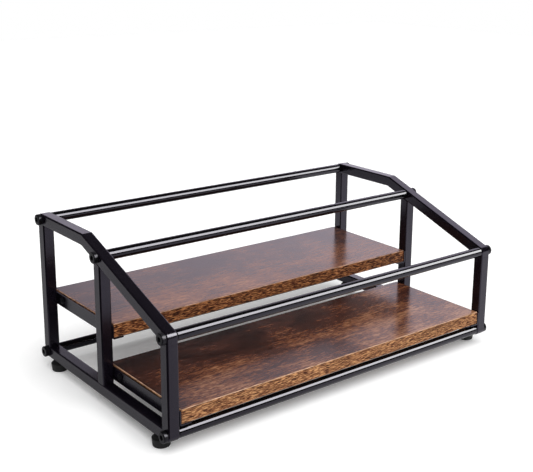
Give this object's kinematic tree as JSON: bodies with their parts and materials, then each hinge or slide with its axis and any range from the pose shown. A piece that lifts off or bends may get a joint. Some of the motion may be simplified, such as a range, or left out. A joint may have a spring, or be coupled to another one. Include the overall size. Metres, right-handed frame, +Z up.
{
  "type": "syrup bottle rack",
  "caption": "Countertop bottle rack with an upper and a lower wooden shelf, square-tube side frames, round guard bars and screw-in levelling feet.",
  "frame": {"origin": "centre of the rack on the surface that it stands on, at the middle of its length and depth", "axes": "+X along the length to the right, +Y to the rear where the frame is highest, +Z up"},
  "size_m": [0.362, 0.21, 0.142],
  "materials": {
    "frame_paint": "satin black powder coat",
    "bar_gloss": "glossy black coat",
    "black_bolt": "satin black",
    "black_screw": "satin black",
    "shelf_board": "rustic brown wood grain, matte",
    "foot_plastic": "moulded black",
    "zinc_steel": "zinc plated"
  },
  "bodies": {
    "rack": {"left_bottom_rail": "frame_paint", "left_rear_top_rail": "frame_paint", "left_front_top_rail": "frame_paint", "left_front_upright": "frame_paint", "left_middle_upright": "frame_paint", "left_rear_upright": "frame_paint", "left_upper_shelf_angle": "frame_paint", "left_lower_shelf_angle": "frame_paint", "left_foot_nuts": "zinc_steel", "left_frame_bolts": "black_bolt", "right_bottom_rail": "frame_paint", "right_rear_top_rail": "frame_paint", "right_front_top_rail": "frame_paint", "right_front_upright": "frame_paint", "right_middle_upright": "frame_paint", "right_rear_upright": "frame_paint", "right_upper_shelf_angle": "frame_paint", "right_lower_shelf_angle": "frame_paint", "right_foot_nuts": "zinc_steel", "right_frame_bolts": "black_bolt", "rear_top_bar": "bar_gloss", "middle_bar": "bar_gloss", "front_top_bar": "bar_gloss", "rear_bottom_bar": "bar_gloss", "front_bottom_bar": "bar_gloss", "upper_shelf": "shelf_board", "lower_shelf": "shelf_board", "upper_shelf_screws": "black_screw", "lower_shelf_screws": "black_screw"},
    "left_front_levelling_foot": {"left_front_foot_stud": "zinc_steel", "left_front_foot": "foot_plastic"},
    "left_rear_levelling_foot": {"left_rear_foot_stud": "zinc_steel", "left_rear_foot": "foot_plastic"},
    "right_front_levelling_foot": {"right_front_foot_stud": "zinc_steel", "right_front_foot": "foot_plastic"},
    "right_rear_levelling_foot": {"right_rear_foot_stud": "zinc_steel", "right_rear_foot": "foot_plastic"}
  },
  "joints": [
    {"name": "left_front_foot_height", "type": "slide", "parent": "rack", "child": "left_front_levelling_foot", "axis": [0, 0, -1], "range_m": [0, 0.005]},
    {"name": "left_rear_foot_height", "type": "slide", "parent": "rack", "child": "left_rear_levelling_foot", "axis": [0, 0, -1], "range_m": [0, 0.005]},
    {"name": "right_front_foot_height", "type": "slide", "parent": "rack", "child": "right_front_levelling_foot", "axis": [0, 0, -1], "range_m": [0, 0.005]},
    {"name": "right_rear_foot_height", "type": "slide", "parent": "rack", "child": "right_rear_levelling_foot", "axis": [0, 0, -1], "range_m": [0, 0.005]}
  ]
}
